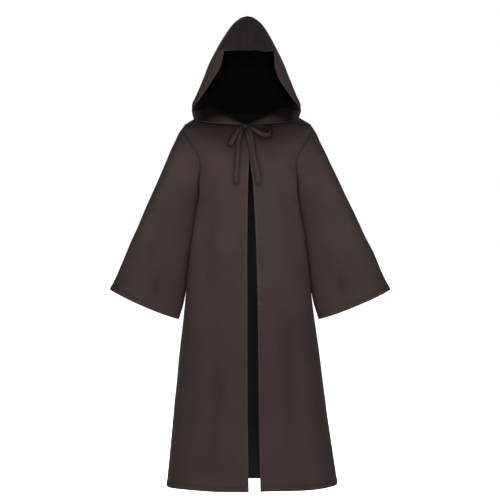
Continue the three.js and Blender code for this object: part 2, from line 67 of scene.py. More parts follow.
def along(rows, key, column, at):
    x, y = rows[key], rows[column]
    if x[0] > x[-1]:
        x, y = x[::-1], y[::-1]
    steps = np.diff(y) / np.diff(x)
    before, after = steps[:-1], steps[1:]
    turning = before * after <= 0
    slopes = np.empty(len(y))
    slopes[0], slopes[-1] = steps[0], steps[-1]
    slopes[1:-1] = np.where(turning, 0, 2 * before * after / np.where(turning, 1, before + after))
    i = np.clip(np.searchsorted(x, at, side="right") - 1, 0, len(x) - 2)
    span = x[i + 1] - x[i]
    t = np.clip((at - x[i]) / span, 0, 1)
    change = y[i + 1] - y[i]
    leave, arrive = slopes[i] * span, slopes[i + 1] * span
    bend, twist = 3 * change - 2 * leave - arrive, leave + arrive - 2 * change
    return y[i] + leave * t + bend * t ** 2 + twist * t ** 3


def power(value, exponent):
    return np.sign(value) * np.abs(value) ** exponent


def mix(a, b, share):
    return a + (b - a) * share


def smooth(value):
    t = np.clip(value, 0, 1)
    return t * t * (3 - 2 * t)


def bell(distance, width):
    return np.exp(-(distance / width) ** 2)


def unit(vectors):
    return vectors / np.maximum(np.linalg.norm(vectors, axis=-1, keepdims=True), 1e-12)


# The robe's form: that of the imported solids, with the cuffs up to 9 mm lower, the hem up to 9 mm higher
# at one side and the hood's corners and peak a few millimetres fuller, as in the photograph

hemHeight = -1204.5
bodyPower, hoodPower, sleevePower = 2.5, 2.3, 2.2

body = table("z half front back middle", [
    (40, 105, 56, 66, -5.5),
    (28, 130, 66, 76, -5.5),
    (15, 155, 76, 84, -5.5),
    (4, 175, 83, 90, -5.5),
    (-5, 191, 88, 94, -5.5),
    (-18, 209, 93, 98, -5.5),
    (-36, 216, 98, 101, -5.5),
    (-60, 213, 105, 104, -5.5),
    (-100, 196, 114, 108, -5),
    (-132, 180, 119, 110, -4.5),
    (-185, 163, 124, 113, -4),
    (-238, 162, 127, 117, -4),
    (-290, 170, 130, 121, -4),
    (-370, 183, 134, 126, -3.5),
    (-455, 195, 139, 132, -3.5),
    (-587, 208, 147, 142, -3),
    (-760, 229, 157, 154, -0.5),
    (-924, 248, 165, 164, 2),
    (-1089, 268, 171, 171, 6),
    (hemHeight, 282, 175, 175, 9),
])
# Lines across the panels: height at the neckline or front edge, height and turn at the armhole
# or side seam, and half the width of the neckline
across = table("row inner side turn neck", [
    (0, 40, -18, 90, 105),
    (1, 34, -25, 78, 94),
    (2, 27, -43, 71, 81),
    (3, 18, -63, 65.5, 67),
    (4, 8, -84, 62, 52),
    (5, -3, -106, 60, 35),
    (6, -13, -128, 60.5, 18),
    (7, -23, -148, 63.5, 0.3),
    (8, -50, -165, 69, 0.3),
    (9, -85, -178, 77.5, 0.3),
    (10, -125, -185, 90, 0.3),
    (11, -170, -215, 90, 0.3),
    (12, -225, -255, 90, 0.3),
    (13, -300, -300, 90, 0.3),
    (28, hemHeight, hemHeight, 90, 0.3),
])
neckRow, underarmRow, levelRow, hemRow = 7, 10, 13, 28
# How much higher than level the hem hangs, by the turn from the centre front
hemShape = table("turn raise", [
    (-90, 0), (-60, 0.5), (-40, 0), (-20, -2.8), (-5, -3), (10, -0.5), (30, -0.5), (50, 2.5),
    (65, 5.5), (80, 8), (90, 9), (120, 6), (150, 2), (180, 0), (270, 0),
])
neckMiddle, backNeckHeight = -10.5, 28
shoulderColumns, backNeckColumns = 8, 12
frontEdges = table("z left right", [
    (-23, -10.8, -10.2),
    (-60, -7.3, -6.7),
    (-125, -1.6, -0.6),
    (-190, -3.6, 9),
    (-230, -5.2, 12.8),
    (-430, -7.4, 22),
    (-600, -7.2, 26.5),
    (-924, -6.5, 30),
    (hemHeight, -2, 34.5),
])
# Soft folds down to the hem: turn from the centre front and half width in degrees, height where
# each begins, and how far it stands out at the hem
folds = table("turn width top lift", [
    (-62, 11, -420, 4),
    (-38, 9, -560, 3.5),
    (-17, 7, -300, 2.5),
    (22, 8, -480, 3),
    (47, 10, -380, 4),
    (69, 9, -650, 4),
    (112, 11, -520, 6),
    (136, 12, -260, 9),
    (161, 10, -400, 8),
    (186, 12, -180, 10),
    (211, 10, -460, 7),
    (235, 12, -320, 9),
    (255, 9, -600, 5),
])
sleeveForm = table("share outer top low clear depth middle behind", [
    (0, 214, -22, -188, 3, 66, -6, 0),
    (0.15, 245, -82, -231, 1, 64, -7, 24),
    (0.33, 282.5, -165, -277, 1, 60, -4.5, 42),
    (0.5, 328, -264, -350, 1, 58, -3, 46),
    (0.67, 373, -363, -442, 2, 58, -1, 46),
    (0.83, 418.5, -462, -541, 4, 60, 1.5, 40),
    (0.92, 440.5, -513.5, -600, 7, 61.5, 2, 35),
    (1, 463, -559, -658, 18, 63, 2.5, 30),
])
cuffDrop, armholeBlend, sleeveClearance = 6, 0.22, 0.6
hoodForm = table("row cornerX cornerY cornerZ sideX sideY sideZ backY backZ lean", [
    (1, 32, -98, -21.5, 130, 3, 42, 88, 33, 0),
    (3, 105, -89, -16, 160, 3, 32, 106, 52, 0),
    (5, 170, -48, -3, 180, 3, 32, 124, 78, -1),
    (7, 176, -26, 31, 179, 4, 50, 137, 110, 0),
    (9, 147, -34, 74, 163, 8, 88, 146, 146, 0),
    (11, 112, -64, 122, 142, 6, 140, 149, 188, -1),
    (13, 88, -90, 169, 124, -2, 184, 143, 226, 4),
    (15, 80, -117, 216, 105, -14, 219, 124, 265, 8),
    (17, 52, -82, 268, 79, -8, 268, 102, 296, 2),
    (19, 28, -40, 314, 50, 4, 314, 74, 326, 0),
    (20, 18, -22, 333, 29, 10, 333, 60, 336, 0),
    (20.6, 10, -11, 340, 17, 13, 340, 50, 340.5, 0),
    (21, 0, -4, 342.5, 0, 16, 342.5, 44, 342, 0),
])
crown = table("row y z", [
    (15, -129, 216), (17, -93, 268), (19, -50, 314), (20, -28, 332), (20.6, -16, 340), (21, -6, 342.5),
])
browRow, peakRow, crownColumns = 15, 21, 4
hoodMiddle = table("z x", [(60, -10.5), (221, -9.5), (344, -6.5)])
chestClearance = 3.5
seamAllowance, allowanceDepth = 6.0, 1.8
neckTuck, sleeveTuck = 1.9, 0.6  # how far the sewn edges of hood and sleeves go in under the body's edge
seamLap = 0.6  # how far the hood's halves reach over their middle line, into the joined seam
seamRun, turnStep, heightStep, frontLimit = 0.05, 1, 1, 89


# How far the soft folds stand out
def foldLift(turn, z):
    lift = np.zeros(np.broadcast(turn, z).shape)
    for place, width, top, most in zip(folds["turn"], folds["width"], folds["top"], folds["lift"]):
        off = (turn - place + 180) % 360 - 180
        lift = lift + most * smooth((top - z) / (top - hemHeight)) * bell(off, width)
    return lift


# The body without folds, a rounded oval at each height
def plainBody(turn, z):
    aside, ahead = np.sin(np.radians(turn)), np.cos(np.radians(turn))
    depth = np.where(ahead > 0, along(body, "z", "front", z), along(body, "z", "back", z))
    x = along(body, "z", "middle", z) + along(body, "z", "half", z) * power(aside, 2 / bodyPower)
    return np.stack(np.broadcast_arrays(x, -depth * power(ahead, 2 / bodyPower), z), -1)


def bodyNormal(turn, z):
    around = plainBody(turn + turnStep, z) - plainBody(turn - turnStep, z)
    upward = plainBody(turn, z + heightStep) - plainBody(turn, z - heightStep)
    return unit(np.cross(around, upward))


def bodyPoint(turn, z, lift=0.0):
    raised = np.asarray(foldLift(turn, z) + lift)[..., None]
    return plainBody(turn, z) + bodyNormal(turn, z) * raised


def turnAt(x, z):
    share = (x - along(body, "z", "middle", z)) / along(body, "z", "half", z)
    return np.degrees(np.arcsin(power(np.clip(share, -1, 1), bodyPower / 2)))


def chestPoint(x, z, lift):
    return bodyPoint(turnAt(x, z), z, lift)


def hemRaise(turn, row):
    at = (turn + 90) % 360 - 90
    return along(hemShape, "turn", "raise", at) * smooth((row - levelRow) / (hemRow - levelRow))


def frontPlace(side, row, share):
    inner, outer = along(across, "row", "inner", row), along(across, "row", "side", row)
    edge = along(frontEdges, "z", "left" if side < 0 else "right", inner)
    middle = mix(along(body, "z", "middle", inner), neckMiddle, row / neckRow)
    neck = middle + side * along(across, "row", "neck", row)
    x = np.where(row < neckRow, neck, edge)
    turn = mix(turnAt(x, inner), side * along(across, "row", "turn", row), share)
    return turn, mix(inner, outer, share) + hemRaise(turn, row)


def backTop(column):
    last = 2 * shoulderColumns + backNeckColumns
    fromEnd = np.minimum(column, last - column)
    neckHeight = across["inner"][0]
    share = (column - shoulderColumns) / backNeckColumns
    onShoulder = fromEnd <= shoulderColumns
    z = np.where(onShoulder, mix(across["side"][0], neckHeight, fromEnd / shoulderColumns),
                 mix(backNeckHeight, neckHeight, (2 * share - 1) ** 2))
    turn = np.where(onShoulder, np.where(column < last / 2, -90, -270), mix(-90, -270, share))
    return turn, z


def backPlace(row, share):
    turn = along(across, "row", "turn", row)
    topTurn, topZ = backTop(share * (2 * shoulderColumns + backNeckColumns))
    fade = np.where(row < underarmRow, (1 - row / underarmRow) ** 2, 0)
    place = mix(turn - 180, -180 - turn, share) + (topTurn - mix(-90, -270, share)) * fade
    z = along(across, "row", "side", row) + (topZ - across["side"][0]) * fade
    return place, z + hemRaise(place, row)


# Round the armhole: from the shoulder down the front, and up the back
def armholePlace(side, place):
    place = place % (2 * underarmRow)
    down = place <= underarmRow
    row = np.where(down, place, 2 * underarmRow - place)
    turn = along(across, "row", "turn", row)
    return side * np.where(down, turn, 180 - turn), along(across, "row", "side", row)


# How far the body reaches out to the side at a depth and a height
def bodyReach(side, y, z):
    depth = np.where(y < 0, along(body, "z", "front", z), along(body, "z", "back", z))
    share = np.maximum(0, 1 - (np.abs(y) / depth) ** bodyPower) ** (1 / bodyPower)
    return np.abs(along(body, "z", "middle", z) + side * along(body, "z", "half", z) * share)


def sleeveOval(side, share, place):
    value = {name: along(sleeveForm, "share", name, share) for name in sleeveForm}
    inner = bodyReach(side, value["behind"], value["low"]) + value["clear"]
    zero = np.zeros_like(inner)
    outerPoint = np.stack([value["middle"] + side * value["outer"], zero, value["top"]], -1)
    innerPoint = np.stack([side * inner, value["behind"], value["low"]], -1)
    angle = place / underarmRow * np.pi
    half = (outerPoint - innerPoint) / 2
    wide = power(np.cos(angle), 2 / sleevePower)[..., None]
    deep = power(np.sin(angle), 2 / sleevePower)
    drop = cuffDrop * share ** 4 * np.sin(angle) ** 2
    shift = np.stack(np.broadcast_arrays(0.0, -value["depth"] * deep, -drop), -1)
    return innerPoint + half + half * wide + shift


# The sleeve is joined to the armhole, and opens out from it
def sleevePoint(side, share, place):
    share, place = np.broadcast_arrays(share, place)
    turn, z = armholePlace(side, place)
    fade = (np.maximum(0, 1 - share / armholeBlend) ** 2)[..., None]
    toSeam = bodyPoint(turn, z, -sleeveTuck) - sleeveOval(side, share * 0, place)
    point = sleeveOval(side, share, place) + toSeam * fade
    clear = bodyReach(side, point[..., 1], point[..., 2]) + sleeveClearance * smooth(share / seamRun)
    point[..., 0] = np.where(share > 0, side * np.maximum(side * point[..., 0], clear), point[..., 0])
    return point


def necklineEdge(side, column):
    frontTurn, frontZ = frontPlace(side, np.clip(neckRow - column, 0, neckRow), np.zeros_like(column))
    fromLeft = shoulderColumns + np.maximum(column - neckRow, 0)
    count = 2 * shoulderColumns + backNeckColumns
    backTurn, backZ = backTop(fromLeft if side < 0 else count - fromLeft)
    behind = column > neckRow
    return bodyPoint(np.where(behind, backTurn, frontTurn), np.where(behind, backZ, frontZ), -neckTuck)


# Columns of the hood: crown, rim, side and centre back
def hoodPoint(side, row, column):
    row, column = np.broadcast_arrays(np.asarray(row, float), np.asarray(column, float))
    value = {name: along(hoodForm, "row", name, row) for name in hoodForm}
    seamY, seamZ = along(crown, "row", "y", row), along(crown, "row", "z", row)
    cornerX = value["cornerX"] + side * value["lean"]
    # over the crown's front
    share = np.clip(column / crownColumns, 0, 1)
    onCrown = np.stack([mix(0 * seamY, cornerX, share), mix(seamY, value["cornerY"], share ** 2),
                        mix(seamZ, value["cornerZ"], share)], -1)
    # from the rim or the corner to the side
    angle = np.clip((column - crownColumns) / neckRow, 0, 1) * np.pi / 2
    out = power(np.sin(angle), 2 / hoodPower)
    forward = power(np.cos(angle), 2 / hoodPower)
    onSide = np.stack([mix(cornerX, value["sideX"], out), mix(value["sideY"], value["cornerY"], forward),
                       mix(value["cornerZ"], value["sideZ"], out)], -1)
    # from the side to the centre back
    sideColumn = crownColumns + neckRow
    angle = np.clip((column - sideColumn) / (backNeckColumns / 2), 0, 1) * np.pi / 2
    inward = power(np.cos(angle), 2 / hoodPower)
    rearward = power(np.sin(angle), 2 / hoodPower)
    onBack = np.stack([value["sideX"] * inward, mix(value["sideY"], value["backY"], rearward),
                       mix(value["sideZ"], value["backZ"], np.sin(angle) ** 2)], -1)
    isCrown = ((column <= crownColumns) & (row >= browRow))[..., None]
    point = np.where(isCrown, onCrown, np.where((column <= sideColumn)[..., None], onSide, onBack))
    point[..., 0] = along(hoodMiddle, "z", "x", point[..., 2]) + side * point[..., 0]
    # just clear of the chest and the shoulders
    turn = turnAt(point[..., 0], point[..., 2])
    chest = plainBody(turn, point[..., 2])[..., 1] - chestClearance
    near = (point[..., 2] <= across["inner"][0]) & (np.abs(turn) <= frontLimit) & (point[..., 1] < 0)
    point[..., 1] = np.where(near, np.minimum(point[..., 1], chest), point[..., 1])
    return point


def hoodSurface(side, row, column):
    row, column = np.broadcast_arrays(np.asarray(row, float), np.asarray(column, float))
    upper = hoodPoint(side, np.maximum(row, 1), column)
    lower = necklineEdge(side, np.maximum(column - crownColumns, 0))
    return np.where((row < 1)[..., None], mix(lower, upper, np.minimum(row, 1)[..., None]), upper)


# Grids of cloth, finer near their edges

edgeLines = {
    "hem": (0, 0.7, 1.6, 3.5, 6, 9, 11, 12, 12.8, 13.6, 14.6, 16.5, 20),
    "seam": (0, 0.8, 1.8, 3, 4.5, 6.5, 9, 12),
}
topLines = [0.04, 0.1, 0.18]  # close rows under the shoulder and neck seams
hemRowHeight, sleeveLength = 60.3, 560
hemLines = [hemRow - d / hemRowHeight for d in edgeLines["hem"][1:]]
shareSamples, mostForEdge, closeRows = 129, 0.45, 0.3
millimetre = 0.001


# The distance along each row of a grid, from its first point
def measured(points):
    steps = np.linalg.norm(np.diff(points, axis=1), axis=-1)
    return np.concatenate([np.zeros((len(points), 1)), np.cumsum(steps, axis=1)], axis=1)


# Columns at real distances from both edges, for each row of a piece
def spreadAcross(surface, rows, middleCount, startLines, endLines):
    samples = np.linspace(0, 1, shareSamples)
    lengths = measured(surface(rows[:, None], samples[None, :]))
    start, end = np.array(startLines, float), np.array(endLines, float)
    places = np.empty((len(rows), len(start) + middleCount + len(end)))
    for i, length in enumerate(lengths):
        total = length[-1]
        fit = min(1, mostForEdge * total / max(start[-1], end[-1]))
        middle = np.linspace(start[-1] * fit, total - end[-1] * fit, middleCount + 2)[1:-1]
        wanted = np.concatenate([start * fit, middle, (total - end * fit)[::-1]])
        places[i] = np.interp(wanted, length, samples)
    return places


# Even rows, with the extra ones in place of those close to them
def rowLines(low, high, perRow, extra=()):
    lines = np.linspace(low, high, int(round((high - low) * perRow)) + 1)
    lines = [value for value in lines if all(abs(value - e) > closeRows / perRow for e in extra)]
    return np.array(sorted(set(lines) | set(extra)))


def closed(points, ring):
    return np.concatenate([points, points[:, :1]], 1) if ring else points


def allCells(points, ring=False):
    rows, columns = closed(points, ring).shape[:2]
    return np.ones((rows - 1, columns - 1), bool)


def pointNormals(points, cells, ring, outward):
    grid = closed(points, ring)
    faces = np.cross(grid[1:, :-1] - grid[:-1, 1:], grid[1:, 1:] - grid[:-1, :-1]) * cells[..., None]
    total = np.zeros_like(grid)
    for rows in (slice(0, -1), slice(1, None)):
        for columns in (slice(0, -1), slice(1, None)):
            total[rows, columns] += faces
    if ring:
        total[:, 0] += total[:, -1]
        total = total[:, :-1]
    return unit(total) * outward


# Distances in millimetres from the first and last row and the first and last column
def fromEdges(points):
    down = measured(points.transpose(1, 0, 2)).T
    run = measured(points)
    return {"top": down, "bottom": down[-1:] - down, "start": run, "end": run[:, -1:] - run}


creaseShade, creaseDepth = 0.42, 4.6  # how much less light a crease of that many millimetres gets
sharpAngle = np.radians(50)


# A thin closed shell of cloth on a grid in millimetres, with its own sizes as UVs in metres. Rim is the
# material of the cut edge, and lining is 0 where the inside shows the outside's material.
def makeCloth(name, points, wall, materials, cells=None, ring=False, outward=1, depth=0.0, rim=0, lining=None,
              shade=1.0):
    rows, columns = points.shape[:2]
    if cells is None:
        cells = allCells(points, ring)
    places = fromEdges(points)
    outer = points + pointNormals(points, cells, ring, outward) * np.asarray(depth)[..., None]
    inner = outer - pointNormals(outer, cells, ring, outward) * wall
    count = rows * columns

    def isCloth(i, j):
        onGrid = 0 <= i < rows - 1 and (ring or 0 <= j < columns - 1)
        return onGrid and cells[i, j % cells.shape[1]]

    faces, kinds = [], []
    for i, j in np.argwhere(cells).tolist():
        a, d = i * columns + j, i * columns + (j + 1) % columns
        b, c = a + columns, d + columns
        quads = [(a, b, c, d), (d + count, c + count, b + count, a + count)]
        if not isCloth(i - 1, j):
            quads.append((d, d + count, a + count, a))
        if not isCloth(i + 1, j):
            quads.append((b, b + count, c + count, c))
        if not isCloth(i, j - 1):
            quads.append((a, a + count, b + count, b))
        if not isCloth(i, j + 1):
            quads.append((c, c + count, d + count, d))
        faces += [quad if outward > 0 else quad[::-1] for quad in quads]
        kinds += [0, 1 if lining is None else int(lining[i, j])] + [rim] * (len(quads) - 2)

    faces = np.array(faces)
    vertices = np.concatenate([outer.reshape(-1, 3), inner.reshape(-1, 3)]) * millimetre
    keep = np.unique(faces)
    renumber = np.zeros(len(vertices), int)
    renumber[keep] = np.arange(len(keep))
    mesh = bpy.data.meshes.new(name)
    mesh.from_pydata(vertices[keep].tolist(), [], renumber[faces].tolist())
    sizes = np.stack([places["start"], places["top"]], -1).reshape(-1, 2) * millimetre
    sizes = np.concatenate([sizes, sizes])[keep]
    loops = np.empty(len(mesh.loops), int)
    mesh.loops.foreach_get("vertex_index", loops)
    mesh.uv_layers.new(name="clothSize").data.foreach_set("uv", sizes[loops].ravel())
    creased = shade * (1 - creaseShade * smooth(-np.asarray(depth) / creaseDepth))
    creased = np.broadcast_to(creased, (rows, columns)).ravel()
    creased = np.concatenate([creased, creased])[keep]
    mesh.attributes.new("creaseShade", "FLOAT", "POINT").data.foreach_set("value", creased)
    mesh.polygons.foreach_set("material_index", kinds)
    for material in materials:
        mesh.materials.append(material)
    mesh.shade_smooth()
    mesh.set_sharp_from_angle(angle=sharpAngle)
    piece = bpy.data.objects.new(name, mesh)
    scene.collection.objects.link(piece)
    return piece


# The edge that is sewn in goes on under its neighbour, away from the middle of the hole
def withAllowance(points, middle, turn, z, deep=allowanceDepth):
    away = unit(points[0] - np.array(middle))
    hidden = points[0] + seamAllowance * away - deep * bodyNormal(turn, z)
    return np.concatenate([hidden[None], points])


sewing = {
    "seam": 1.2, "seamWidth": 2.6, "roll": 0.35, "rollPlace": 8, "rollWidth": 4,
    "hem": 0.8, "stitch": 0.55, "stitchPlace": 0.8, "stitchWidth": 1.1, "edge": 0.45, "edgeWidth": 0.8,
    "hemStep": 3, "hemReach": 1.6,
}


# Cloth sinks in at a seam and swells a little beside it
def seamDip(distance, depth=sewing["seam"]):
    swell = sewing["roll"] * bell(distance - sewing["rollPlace"], sewing["rollWidth"])
    return -depth * bell(distance, sewing["seamWidth"]) + swell


armhole = {"dip": 2.4, "reach": 9, "first": 2, "firstFade": 5, "last": underarmRow + 0.5, "lastFade": 1.5}


# The front sinks in along the armhole, between the shoulder and the underarm
def armholeDip(row, distance):
    dip = armhole["dip"] * smooth((armhole["last"] - row) / armhole["lastFade"])
    dip = dip * smooth((row - armhole["first"]) / armhole["firstFade"])
    return dip * bell(distance, armhole["reach"])


# The turned hem, twice as thick, with its line of stitches
def hemBand(distance, width, raised=sewing["hem"]):
    band = raised * smooth((width + sewing["hemReach"] - distance) / sewing["hemStep"])
    stitch = sewing["stitch"] * bell(distance - (width - sewing["stitchPlace"]), sewing["stitchWidth"])
    return band - stitch - sewing["edge"] * bell(distance, sewing["edgeWidth"])


pucker = {
    "spacing": 11.0, "uneven": (0.5, 1.5), "width": (2.8, 5.0), "strength": (0.3, 1), "share": 0.5, "level": 0.4,
    "place": 6, "reach": 9.6,
}


# Small uneven puckers beside a stitched edge
def puckers(run, distance, seed):
    draw = np.random.default_rng(seed)
    total = float(np.max(run))
    field = np.zeros_like(run)
    place = 0.0
    while place < total:
        width = draw.uniform(*pucker["width"])
        field += draw.uniform(*pucker["strength"]) * bell(run - place, width)
        place += draw.uniform(*pucker["uneven"]) * pucker["spacing"]
    return pucker["share"] * (field - pucker["level"]) * bell(distance - pucker["place"], pucker["reach"])


ripple = {"count": 14, "across": 90, "down": 260}


# A faint unevenness of the whole cloth, longer up and down than across
def ripples(points, seed, depth):
    draw = np.random.default_rng(seed)
    field = np.zeros(points.shape[:-1])
    for _ in range(ripple["count"]):
        direction = draw.normal(size=3) * (1 / ripple["across"], 1 / ripple["across"], 1 / ripple["down"])
        field += np.sin(points @ (direction * 2 * np.pi) + draw.uniform(0, 2 * np.pi))
    return depth * field / ripple["count"] ** 0.5


creaseTaper, creaseFacing = 0.35, 1.2


# Soft troughs and ridges along straight runs seen from the front, tapered at both ends
def creaseField(creases, points, facing):
    field = np.zeros(points.shape[:-1])
    for x0, z0, x1, z1, width, lift, face in zip(*creases.values()):
        run = np.array([x1 - x0, z1 - z0])
        length = np.hypot(*run)
        dx, dz = points[..., 0] - x0, points[..., 2] - z0
        share = (dx * run[0] + dz * run[1]) / length ** 2
        off = (dx * run[1] - dz * run[0]) / length
        taper = smooth(share / creaseTaper) * smooth((1 - share) / creaseTaper)
        field += lift * taper * bell(off, width) * smooth(0.5 + facing * face * creaseFacing)
    return field


# Materials

def linear(code):  # a hex colour in sRGB as linear RGBA
    parts = [int(code[i:i + 2], 16) / 255 for i in (1, 3, 5)]
    return tuple(v / 12.92 if v <= 0.04045 else ((v + 0.055) / 1.055) ** 2.4 for v in parts) + (1,)


def addNode(tree, kind, settings=None, links=None, **fields):
    node = tree.nodes.new(kind)
    for field, value in fields.items():
        setattr(node, field, value)
    for socket, value in (settings or {}).items():
        node.inputs[socket].default_value = value
    for socket, (source, output) in (links or {}).items():
        tree.links.new(source.outputs[output], node.inputs[socket])
    return node


def combine(tree, a, b, operation="MULTIPLY", output=0):
    return addNode(tree, "ShaderNodeMath", links={0: (a, 0), 1: (b, output)}, operation=operation)


def ranged(tree, settings, source, output=0):
    return addNode(tree, "ShaderNodeMapRange", settings, {"Value": (source, output)})


# Brushed polyester suiting in plain weave, with a faint warm sheen. Its colour is painted darker where it
# faces up, as on the crown: painted shade.
def wovenCloth(name, look, light=None):
    material = bpy.data.materials.new(name)
    material.use_nodes = True
    tree = material.node_tree
    tree.nodes.clear()
    size = addNode(tree, "ShaderNodeUVMap", uv_map="clothSize")
    place = addNode(tree, "ShaderNodeTexCoord")
    # The real threads are 0.4 mm apart. They are drawn 1.6 mm apart, so that a close view shows them.
    weaving = {"Scale": 1 / (2 * look["thread"]), "Distortion": 0.6, "Detail": 1.0, "Detail Scale": 2.0}
    warp = addNode(tree, "ShaderNodeTexWave", weaving, {"Vector": (size, "UV")}, bands_direction="X")
    weft = addNode(tree, "ShaderNodeTexWave", weaving, {"Vector": (size, "UV")}, bands_direction="Y")
    weave = addNode(tree, "ShaderNodeMath", links={0: (warp, "Fac"), 1: (weft, "Fac")}, operation="MULTIPLY")
    slub = addNode(tree, "ShaderNodeTexNoise", {"Scale": 1 / look["slub"], "Detail": 3.0, "Roughness": 0.55},
                   {"Vector": (place, "Object")})
    cloudy = addNode(tree, "ShaderNodeTexNoise",
                     {"Scale": 1 / look["patch"], "Detail": 2.0, "Roughness": 0.5}, {"Vector": (place, "Object")})
    patches = ranged(tree, {"From Min": 0.3, "From Max": 0.7}, cloudy, "Fac")
    tone = addNode(tree, "ShaderNodeMix", links={"Factor": (patches, "Result")}, data_type="RGBA")
    tone.inputs[6].default_value = linear(look["deep"])
    tone.inputs[7].default_value = linear(look["pale"])
    threads = ranged(tree, {"To Min": 0.9, "To Max": 1.06}, weave)
    # painted shade where it faces up, in the creases and, where a light is given, in its dark
    facing = addNode(tree, "ShaderNodeSeparateXYZ", links={"Vector": (place, "Normal")})
    upFacingRange = {"From Min": 0.05, "From Max": 0.45, "To Min": 1.0, "To Max": look["upFacingShade"]}
    shade = combine(tree, threads, ranged(tree, upFacingRange, facing, "Z"))
    creases = addNode(tree, "ShaderNodeAttribute", attribute_name="creaseShade")
    shade = combine(tree, shade, creases, output="Fac")
    if light:
        where = addNode(tree, "ShaderNodeSeparateXYZ", links={"Vector": (place, "Object")})
        shade = combine(tree, shade, ranged(tree, {"To Min": look["darkest"]}, light(tree, where)))
    colour = addNode(tree, "ShaderNodeVectorMath", links={0: (tone, 2), 1: (shade, "Value")},
                     operation="MULTIPLY")
    relief = addNode(tree, "ShaderNodeMath", {1: look["slubShare"]}, {0: (slub, "Fac"), 2: (weave, "Value")},
                     operation="MULTIPLY_ADD")
    bump = addNode(tree, "ShaderNodeBump", {"Strength": look["bump"], "Distance": look["thread"] / 4},
                   {"Height": (relief, "Value")})
    roughRange = {"To Min": look["roughness"] - 0.05, "To Max": look["roughness"] + 0.06}
    rough = ranged(tree, roughRange, slub, "Fac")
    finish = {"IOR": 1.5, "Metallic": 0.0, "Specular IOR Level": look["specular"],
              "Sheen Weight": look["sheen"], "Sheen Roughness": 0.45, "Sheen Tint": linear(look["sheenTint"])}
    parts = {"Base Color": (colour, "Vector"), "Normal": (bump, "Normal"), "Roughness": (rough, "Result")}
    shader = addNode(tree, "ShaderNodeBsdfPrincipled", finish, parts)
    addNode(tree, "ShaderNodeOutputMaterial", links={"Surface": (shader, "BSDF")})
    return material


# How far daylight reaches, in metres: no light at the first place, all of it at the second
daylight = {
    "cowlFront": (-0.082, -0.104), "cowlHeight": (0.035, 0.0), "cornerOut": (0.143, 0.184),
    "cornerHeight": (0.11, 0.04), "toMiddle": 0.0105, "neck": (-0.02, -0.1), "insideSkirt": (-1.6, -0.5),
    "skirt": (-0.95, -0.2), "chest": (0.03, -0.16),
}


def between(tree, source, output, place):
    start, end = daylight[place]
    node = ranged(tree, {"From Min": start, "From Max": end}, source, output)
    node.interpolation_type = "SMOOTHSTEP"
    return node


# The wrong side of the hood is seen by daylight only at the front of the cowl and at its two outer corners
def cowlLight(tree, where):
    forward = between(tree, where, "Y", "cowlFront")
    front = combine(tree, forward, between(tree, where, "Z", "cowlHeight"))
    fromMiddle = addNode(tree, "ShaderNodeMath", {1: daylight["toMiddle"]}, {0: (where, "X")}, operation="ADD")
    outward = addNode(tree, "ShaderNodeMath", links={0: (fromMiddle, 0)}, operation="ABSOLUTE")
    aside = between(tree, outward, 0, "cornerOut")
    corner = combine(tree, aside, between(tree, where, "Z", "cornerHeight"))
    return combine(tree, front, corner, "MAXIMUM")


# The wrong side of the back gets less light near the neck and toward the hem
def neckLight(tree, where):
    return combine(tree, between(tree, where, "Z", "neck"), between(tree, where, "Z", "insideSkirt"))


# The outside is palest on the chest, a little deeper toward the hem and close under the cowl
def hangingLight(tree, where):
    return combine(tree, between(tree, where, "Z", "skirt"), between(tree, where, "Z", "chest"))


clothLook = {
    "deep": "#221B1A", "pale": "#261E1D", "thread": 0.0016, "slub": 0.004, "patch": 0.12, "slubShare": 0.6,
    "bump": 0.4, "roughness": 0.85, "specular": 0.03, "sheen": 0.015, "sheenTint": "#8A7F6E", "upFacingShade": 0.55,
    "darkest": 0.8,
}
# The wrong side isn't brushed, so it has no sheen and is a little more neutral, and it gets less painted shade
# where it faces up
insideLook = {
    **clothLook, "deep": "#212020", "pale": "#232222", "sheen": 0.0, "upFacingShade": 0.9, "darkest": 0.08,
}
# The hood's inside is darker still: painted shade for its deep hollow
hoodLook = {**insideLook, "deep": "#191511", "pale": "#1C1813", "darkest": 0.05}
bandLook = {**clothLook, "deep": "#201916", "pale": "#251D1A", "sheen": 0.02}
# Little light gets into the loops of the bow
bandInsideLook = {**clothLook, "deep": "#100D0B", "pale": "#14110E", "sheen": 0.0}
robeCloth = wovenCloth("brushedPolyesterOutside", clothLook, hangingLight)
insideCloth = wovenCloth("brushedPolyesterInside", insideLook, neckLight)
hoodInside = wovenCloth("brushedPolyesterHoodInside", hoodLook, cowlLight)
tieCloth = wovenCloth("brushedPolyesterBand", bandLook)
tieInside = wovenCloth("brushedPolyesterBandInside", bandInsideLook)
print("stage: materials made")


# The lines of the tie on the chest: half width and distance from the cloth

tailRight = table("x z half lift", [
    (-16, -31, 3.5, 6), (-28, -48, 5.5, 4.2), (-36, -75, 6.5, 3.4), (-37.6, -110, 7, 3.2),
    (-40.8, -157, 7.5, 3.2), (-44, -208.7, 8, 3.2),
])
tailLeft = table("x z half lift", [
    (-11.5, -32, 5, 6.5), (-3.5, -48, 9.5, 5.5), (1.6, -63, 11, 5), (8.1, -102, 9.5, 4.6),
    (16.2, -141, 8.5, 4), (25.3, -176.5, 8.5, 3.6), (29.2, -208.7, 8.5, 3.4),
])
loopRight = table("x z half lift", [
    (-19, -27, 3, 7), (-37, -44, 6, 7), (-50, -64, 8, 6), (-58, -80, 7.5, 5.5), (-63, -88, 5.5, 7),
    (-63.5, -89.5, 5.5, 11), (-58, -80, 7.5, 13.5), (-48, -63, 7.5, 14), (-36, -43, 5.5, 13.5),
    (-19, -27, 3, 12),
])
loopLeft = table("x z half lift", [
    (-7, -24, 5, 11), (22, -28, 9, 14), (46, -33, 10, 15), (60, -38, 10, 15), (67, -47, 8, 15),
    (65, -56, 8, 15), (56, -61, 10, 15), (42, -60, 10, 15), (22, -48, 9, 14), (-6, -31, 5, 11),
])


